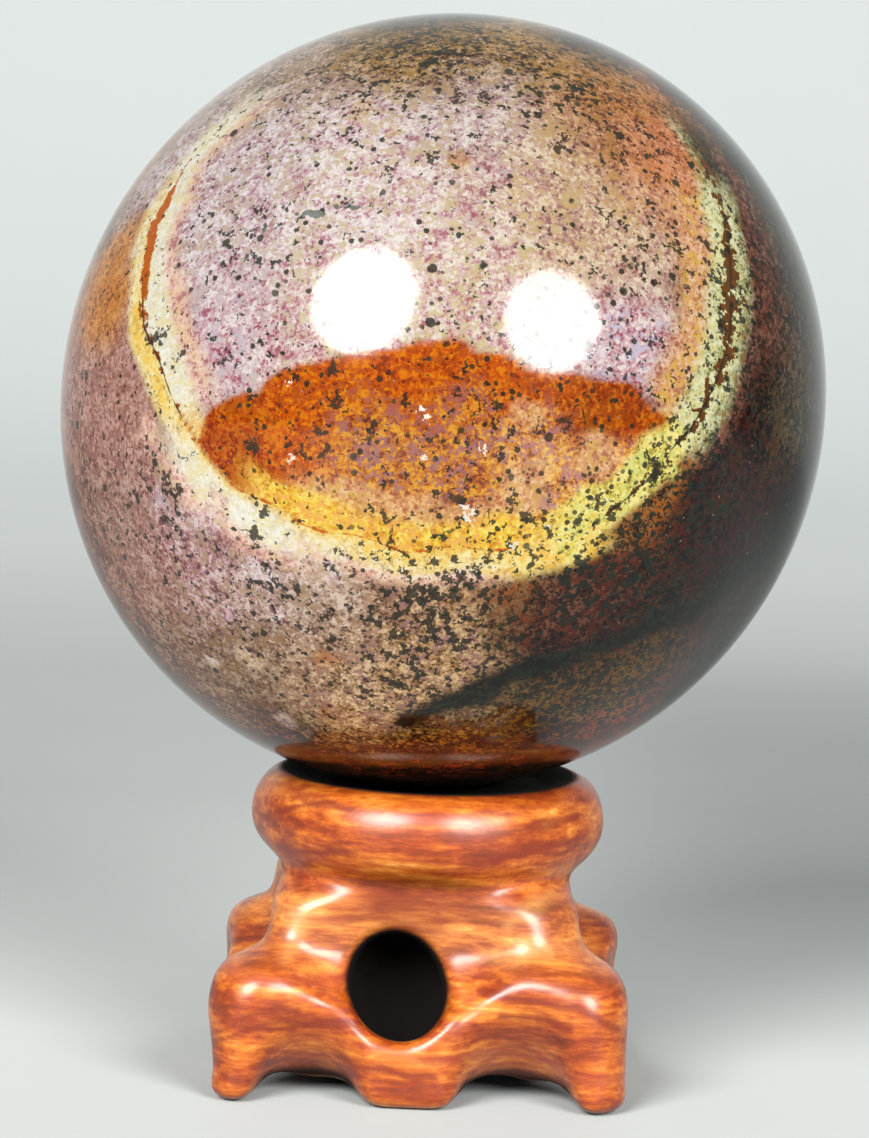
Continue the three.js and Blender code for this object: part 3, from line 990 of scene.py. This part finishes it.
def hole_distance(x, y, z, across, lean):
    """The blind oval hole in one face, in that face's own coordinates."""
    px, py, pz = x - across, y + HOLE_FACE, z - HOLE_LEVEL
    along = py * math.cos(HOLE_DROP) - pz * math.sin(HOLE_DROP)
    rise = py * math.sin(HOLE_DROP) + pz * math.cos(HOLE_DROP)
    lean = math.radians(lean)
    wide = px * math.cos(lean) + rise * math.sin(lean)
    tall = rise * math.cos(lean) - px * math.sin(lean)
    ring = ellipsoid(wide, 0, tall, HOLE_HALF_WIDTH, 1, HOLE_HALF_HEIGHT)
    return smooth_max(ring, along - (HOLE_FACE - HOLE_INNER_END), 2)


def flute_distance(x, y, z, across, radius, top):
    py = y + BLOCK_HALF_WIDTH
    pz = z - (top - radius / math.cos(FLUTE_TILT))
    off = py * math.sin(FLUTE_TILT) + pz * math.cos(FLUTE_TILT)
    return np.hypot(x - across, off) - radius


def stand_distance(x, y, z):
    solid = np.stack([x.ravel(), y.ravel(), z.ravel()], axis=1)
    bend = ripples(solid, 16, 0.16, (21, 22)) + ripples(solid, 6, 0.07, (24, 25))
    x = x + bend[:, 0].reshape(x.shape)
    y = y + bend[:, 1].reshape(x.shape)
    z_body = z + ripple(solid, 14, 0.14, 23).reshape(x.shape) * ease(2, 8, z)
    body = smooth_max(block_distance(x, y, z_body), -z, 2)
    body = smooth_min(body, bead_distance(x, y, z), 0.5)
    body = smooth_max(body, -ellipsoid(x, y, z, *UNDERCUT_HALF_SIZES), 1.2)
    for turn, (across, lean), flutes in FACES:
        fx, fy = face_places(x, y, turn)
        scoop = ellipsoid(fx - across, fy + SCOOP_FACE, z - SCOOP_LEVEL, *SCOOP_HALF_SIZES)
        body = smooth_max(body, -scoop, 4.2)
        for flute in flutes:
            body = smooth_max(body, -flute_distance(fx, fy, z, *flute), 3)
        body = smooth_max(body, -hole_distance(fx, fy, z, across, lean), 0.7)
    return body


def surface_net(values, origin):
    """Points and quads of the surface where a grid of distances changes sign."""
    shape = np.array(values.shape) - 1
    total = np.zeros((shape.prod(), 3))
    count = np.zeros(shape.prod())
    quads = []
    for axis in range(3):
        a = values.take(range(shape[axis]), axis)
        b = values.take(range(1, shape[axis] + 1), axis)
        cuts = np.argwhere((a < 0) != (b < 0))
        others = [(axis + 1) % 3, (axis + 2) % 3]
        keep = np.all((cuts[:, others] > 0) & (cuts[:, others] < shape[others]), axis=1)
        cuts = cuts[keep]
        va, vb = a[tuple(cuts.T)], b[tuple(cuts.T)]
        point = cuts.astype(float)
        point[:, axis] += va / (va - vb)
        ring = []
        for shift in ((0, 0), (-1, 0), (-1, -1), (0, -1)):
            cell_of = cuts.copy()
            cell_of[:, others] += shift
            ids = np.ravel_multi_index(tuple(cell_of.T), tuple(shape))
            np.add.at(total, ids, point)
            np.add.at(count, ids, 1)
            ring.append(ids)
        ring = np.stack(ring, axis=1)
        ring[vb < 0] = ring[vb < 0][:, ::-1]
        quads.append(ring)
    quads = np.concatenate(quads)
    used, packed = np.unique(quads, return_inverse=True)
    points = origin + total[used] / count[used, None] * CELL
    return points, packed.reshape(-1, 4)


def worn(values):
    """A grid of distances with its edges worn soft."""
    for axis in range(3):
        for _ in range(WEAR_ROUNDS):
            values = values / 2 + (np.roll(values, 1, axis) + np.roll(values, -1, axis)) / 4
    return values


def stand_surface():
    reach = BLOCK_HALF_WIDTH + 1.5
    across = np.arange(-reach, reach, CELL)
    up = np.arange(-1, BEAD_CREST_HEIGHT + 1, CELL)
    x, y, z = np.meshgrid(across, across, up, indexing="ij")
    values = stand_distance(x, y, z)
    # The feet's soles and the seat keep their crisp shape
    soft = ease(0.6, 3, z) * ease(26.4, 24.4, z)
    values = values + soft * (worn(values) - values)
    return surface_net(values, np.array([across[0], across[0], up[0]]))


def stand_shadow(points):
    """Painted shade, near black with no varnish: how far a point is in a hole, the groove, a flute's inner
    end, or under the stone or the block.
    """
    x, y, z = points.T
    out = np.hypot(x, y)
    dark = ease(BEAD_CREST_RADIUS + 0.9, BEAD_CREST_RADIUS + 0.1, out) * ease(26.2, 26.5, z)
    groove = np.exp(-(((z - GROOVE_HEIGHT) / 0.5) ** 2)) * ease(15.2, 14.4, out)
    dark = np.maximum(dark, groove * 0.5)
    for turn, hole, flutes in FACES:
        fx, fy = face_places(x, y, turn)
        inside = ease(0.6, 0, hole_distance(fx, fy, z, *hole))
        dark = np.maximum(dark, inside * ease(-16.6, -13.8, fy) * ease(0, -2, fy))
        behind = BLOCK_HALF_WIDTH + fy
        for flute in flutes:
            near = ease(1, 0.3, np.abs(flute_distance(fx, fy, z, *flute)))
            dark = np.maximum(dark, near * ease(3.6, 1.6, z) * ease(1.2, 3.6, behind) * (fy < -6))
    return np.maximum(dark, ease(14.6, 13.6, out) * ease(4.2, 3.2, z))


def front_pixels(points):
    """Where each point of the stand shows in the image, pushed about a little."""
    from_camera = points - CAMERA_PLACE
    depth = from_camera @ FORWARD
    pixels = np.stack([from_camera @ RIGHT, -(from_camera @ UP)], axis=1) * FOCAL_PIXELS / depth[:, None]
    pixels += np.array([IMAGE_WIDTH, IMAGE_HEIGHT]) / 2
    return pixels + ripples(points, 5, 2.5, (31, 32))


def near_lines(pixels, lines, width, blur):
    gap = np.min([line_distance(pixels, smooth_line(line))[0] for line in lines], axis=0)
    return ease(width + blur, width - blur, gap)


def growth_lines_and_shade(points):
    """How close each point of the front is to a dark growth line, and the painted shade in the hollow over
    the hole.
    """
    pixels = front_pixels(points)
    lines = near_lines(pixels, GROWTH_LINES, 3.2 + ripple(points, 4, 1.2, 33), 2.5)
    # Painted shade: the hollow over the hole is darkened where the collar overhangs it
    hollow = np.hypot(*((pixels - SHADED_HOLLOW_MIDDLE) / SHADED_HOLLOW_HALF_SIZES).T) + ripple(points, 5, 0.15, 34)
    return np.maximum(lines, 0.6 * ease(1.2, 0.6, hollow)) * (points[:, 1] < -8)


def pale_and_highlight_streaks(points):
    """How close each point of the front is to one of the pale streaks on the shoulders, which are partly
    paler wood and partly painted highlights.
    """
    near = near_lines(front_pixels(points), PALE_AND_HIGHLIGHT_STREAKS, 4 + ripple(points, 4, 2, 35), 12)
    return near * (points[:, 1] < -8)


def wood_material():
    g = Graph("varnished_wood")
    place = g.place()
    bent = g.shifted(place, 3, 0.06, 2)
    along, side, height = g.axes(bent)
    # Growth rings about the pith, which runs along X
    height = g.plus(height, PITH_DEPTH)
    side = g.plus(side, PITH_SIDE)
    ring = g.math("SQRT", g.plus(g.times(height, height), g.times(side, side)))
    ring = g.scaled(along, 0.07, ring)
    wave = g.math("SINE", g.times(ring, 1.2))
    streak = g.noise(g.shifted(g.place((0.11, 0.4, 1.1)), 0.7, 0.25), 1.1, 5, 0.62)
    blotch = g.noise(g.place((0.6, 0.8, 1)), 0.2, 3, 0.6, 0.4)
    fleck = g.noise(g.place((0.45, 1, 1.1)), 1.5, 3, 0.7)
    level = g.scaled(wave, 0.05, g.times(streak, 0.5))
    level = g.scaled(blotch, 0.28, level)
    level = g.step(0.28, 0.72, g.scaled(fleck, 0.2, level))
    wood = g.ramp(level, WOOD_SHADES)
    line = g.times(g.step(0.7, 0.98, wave), g.step(0.42, 0.6, g.noise(place, 0.13, 1)))
    wood = g.stain(wood, line, 0.6, "6e2416")
    z = g.axes(place)[2]
    # Painted light: the band from the shoulders up to the collar is painted paler, as if lit more
    collar = g.times(g.step(10.5, 14, z), g.step(19.5, 17.5, z))
    wood = g.stain(wood, collar, g.scaled(level, 0.2, 0.03), "b89058")
    # The lines attribute holds the dark growth lines and the painted shade in the hollow over the hole
    wood = g.stain(wood, g.attribute("lines"), 0.85, "5c1c08")
    # Partly painted highlights: pale streaks on the shoulders, where the lamps shine on the ridges
    wood = g.stain(wood, g.attribute("pale_and_highlight"), 0.4, "b8884c")
    pore = g.step(0.55, 0.62, g.noise(g.place((0.22, 1.6, 1.8)), 1.7, 2, 0.5))
    wood = g.stain(wood, pore, 0.22, "5c240e")
    # Painted shade: near black where the shadow attribute is high, with the gloss taken off there
    wood = g.mix(g.attribute("shadow"), wood, colour("060302"))
    open_part = g.math("SUBTRACT", 1, g.attribute("shadow"), clamp=True)
    gloss = g.scaled(open_part, -0.55, 0.95)
    relief = g.plus(streak, g.times(pore, -0.3))
    bump = g.node("Bump", {"Height": relief, "Strength": 0.15, "Distance": 0.0004})
    return g.finish(
        Base_Color=wood, Roughness=gloss, Normal=bump.outputs[0], Specular_IOR_Level=0.12,
        Coat_Weight=g.times(open_part, 0.6), Coat_Roughness=0.3,
    )


def make_stand():
    points, quads = stand_surface()
    piece = make_mesh("carved_stand", points, quads, wood_material())
    paint(piece.data, "shadow", stand_shadow(points))
    paint(piece.data, "lines", growth_lines_and_shade(points))
    paint(piece.data, "pale_and_highlight", pale_and_highlight_streaks(points))
    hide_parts("stand")
    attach(piece, "root")


# The studio

# Each light's mirror image on the stone as an image point, its half angle in degrees and its power
LIGHTS = {"left_soft_light": ((360, 299), 15.2, 29.7), "right_soft_light": ((552, 324), 14.3, 23.5)}
LIGHT_DISTANCE = 1000
LIGHT_COLOUR = (1, 0.985, 0.96)
ROOM_COLOUR = (0.8, 0.84, 0.86, 1)
ROOM_STRENGTH = 0.42


def make_disc_light(name, pixel, spread, power):
    """A round soft light whose mirror image shows on the stone at an image point."""
    way_out = stone_ways(pixel)[0]
    on_stone = STONE_CENTRE + way_out * STONE_RADIUS
    to_camera = unit(CAMERA_PLACE - on_stone)
    back = unit(2 * (way_out @ to_camera) * way_out - to_camera)
    side = unit(np.cross([0, 0, 1], back))
    data = bpy.data.lights.new(name, "AREA")
    data.shape = "DISK"
    data.size = 2 * LIGHT_DISTANCE * math.tan(math.radians(spread)) * MM
    data.energy = power
    data.color = LIGHT_COLOUR
    place_object(name, data, (side, np.cross(back, side), back), on_stone + back * LIGHT_DISTANCE)


# How pale the paper is at each distance behind the object, in metres
PAPER_SHADES = [
    (-0.2, 0.18), (-0.1, 0.21), (-0.04, 0.28), (0.011, 0.31), (0.038, 0.33), (0.07, 0.312), (0.107, 0.285),
    (0.149, 0.253), (0.199, 0.25), (0.26, 0.265), (0.333, 0.32), (0.424, 0.405), (0.542, 0.475),
    (0.7, 0.49),
]
RAMP_SHIFT = 0.25
# The paper's sweep from floor to backdrop, in metres
SWEEP_START = 0.55
SWEEP_RADIUS = 0.5
PAPER_TOP = 1.6
PAPER_HALF_WIDTH = 3


def make_stage():
    """A pale floor that sweeps up into a backdrop, darker where the light falls off behind the object."""
    g = Graph("paper")
    x, y, z = g.axes(g.node("TexCoord").outputs["Object"])
    run = g.plus(y, z)
    stops = [(mark + RAMP_SHIFT, (level * 0.945, level, level * 0.995, 1)) for mark, level in PAPER_SHADES]
    shade = g.ramp(g.plus(run, RAMP_SHIFT), stops)
    # A painted shadow of the object on the paper behind it, to the right
    painted_shadow = g.times(g.step(-0.01, 0.045, x), g.step(0, 0.12, run))
    painted_shadow = g.times(painted_shadow, g.step(0.34, 0.2, run))
    tinted = g.mix(g.times(painted_shadow, 0.28), shade, (0, 0, 0, 1))
    paper = g.finish(Base_Color=tinted, Roughness=0.6, Specular_IOR_Level=0.2)
    profile = [(distance, 0) for distance in (-2, -0.3, 0, 0.2, SWEEP_START)]
    for turn in np.linspace(0.1, math.pi / 2, 16):
        profile.append((SWEEP_START + SWEEP_RADIUS * math.sin(turn), SWEEP_RADIUS * (1 - math.cos(turn))))
    profile.append((SWEEP_START + SWEEP_RADIUS, PAPER_TOP))
    points = np.array([(side * PAPER_HALF_WIDTH, y, z) for y, z in profile for side in (-1, 1)]) / MM
    faces = np.array([(2 * i, 2 * i + 1, 2 * i + 3, 2 * i + 2) for i in range(len(profile) - 1)])
    make_mesh("paper_sweep", points, faces, paper)


def make_world():
    world = bpy.data.worlds.new("studio")
    world.use_nodes = True
    background = world.node_tree.nodes["Background"]
    background.inputs["Color"].default_value = ROOM_COLOUR
    background.inputs["Strength"].default_value = ROOM_STRENGTH
    bpy.context.scene.world = world
    bpy.context.scene.view_settings.view_transform = "Standard"


make_camera()
make_world()
make_stage()
for light_name, light_settings in LIGHTS.items():
    make_disc_light(light_name, *light_settings)
make_stone()
make_stand()
